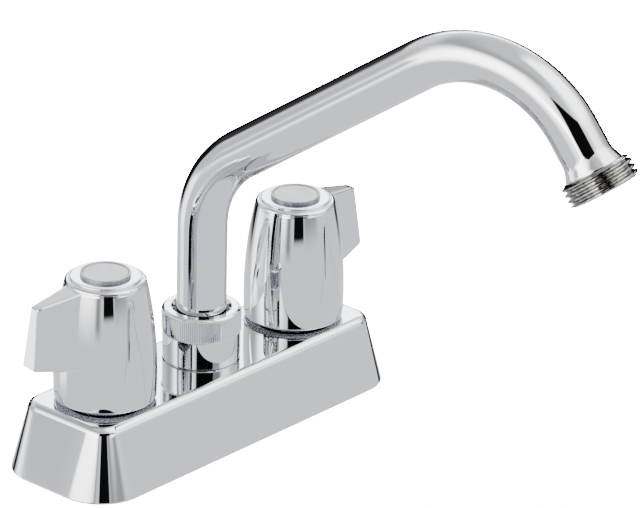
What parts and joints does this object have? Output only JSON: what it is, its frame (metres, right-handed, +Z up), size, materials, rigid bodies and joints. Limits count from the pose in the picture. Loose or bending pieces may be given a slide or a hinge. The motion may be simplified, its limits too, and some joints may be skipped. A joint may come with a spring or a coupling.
{
  "type": "utility sink faucet",
  "caption": "Deck-mounted utility sink faucet: hot and cold blade handles on a sloping cover, with a bent swivelling spout that ends in a hose thread.",
  "frame": {"origin": "on the spout's turning axis, in the plane of the cover's underside, where the faucet stands on the sink", "axes": "+Z up along the spout's turning axis, -Y towards the user, +X from the hot valve to the cold valve"},
  "size_m": [0.1692, 0.2008, 0.2221],
  "materials": {
    "chrome": "polished chrome plate",
    "nickel": "dull nickel plate on brass",
    "brass": "cast and turned",
    "steel": "stainless",
    "gasket_rubber": "soft foam rubber",
    "seal_rubber": "moulded",
    "nylon": "natural",
    "nut_plastic": "moulded",
    "hot_button": "frosted clear",
    "cold_button": "frosted clear"
  },
  "bodies": {
    "base": {"deck_cover": "chrome", "deck_gasket": "gasket_rubber", "waterway_body": "brass", "spout_nut": "chrome", "hot_inlet_shank": "brass", "hot_mounting_nut": "nut_plastic", "hot_valve_seat": "seal_rubber", "hot_seat_spring": "steel", "hot_stem_housing": "brass", "hot_bonnet_nut": "chrome", "cold_inlet_shank": "brass", "cold_mounting_nut": "nut_plastic", "cold_valve_seat": "seal_rubber", "cold_seat_spring": "steel", "cold_stem_housing": "brass", "cold_bonnet_nut": "chrome"},
    "hot_valve": {"hot_stem": "brass", "hot_stem_ring": "seal_rubber", "hot_handle": "chrome", "hot_handle_screw": "steel", "hot_index_button": "hot_button"},
    "cold_valve": {"cold_stem": "brass", "cold_stem_ring": "seal_rubber", "cold_handle": "chrome", "cold_handle_screw": "steel", "cold_index_button": "cold_button"},
    "spout": {"spout_tube": "chrome", "spout_ferrule": "brass", "spout_seal_rings": "seal_rubber", "spout_glide_ring": "nylon", "outlet_fitting": "nickel"}
  },
  "joints": [
    {"name": "spout_swivel", "type": "hinge", "parent": "base", "child": "spout", "pos_m": [0, 0, 0.0425], "axis": [0, 0, 1], "continuous": true},
    {"name": "hot_turn", "type": "hinge", "parent": "base", "child": "hot_valve", "pos_m": [-0.0508, 0, 0.0448], "axis": [0, 0, 1], "range_deg": [0, 90]},
    {"name": "cold_turn", "type": "hinge", "parent": "base", "child": "cold_valve", "pos_m": [0.0508, 0, 0.0448], "axis": [0, 0, -1], "range_deg": [0, 90]}
  ]
}
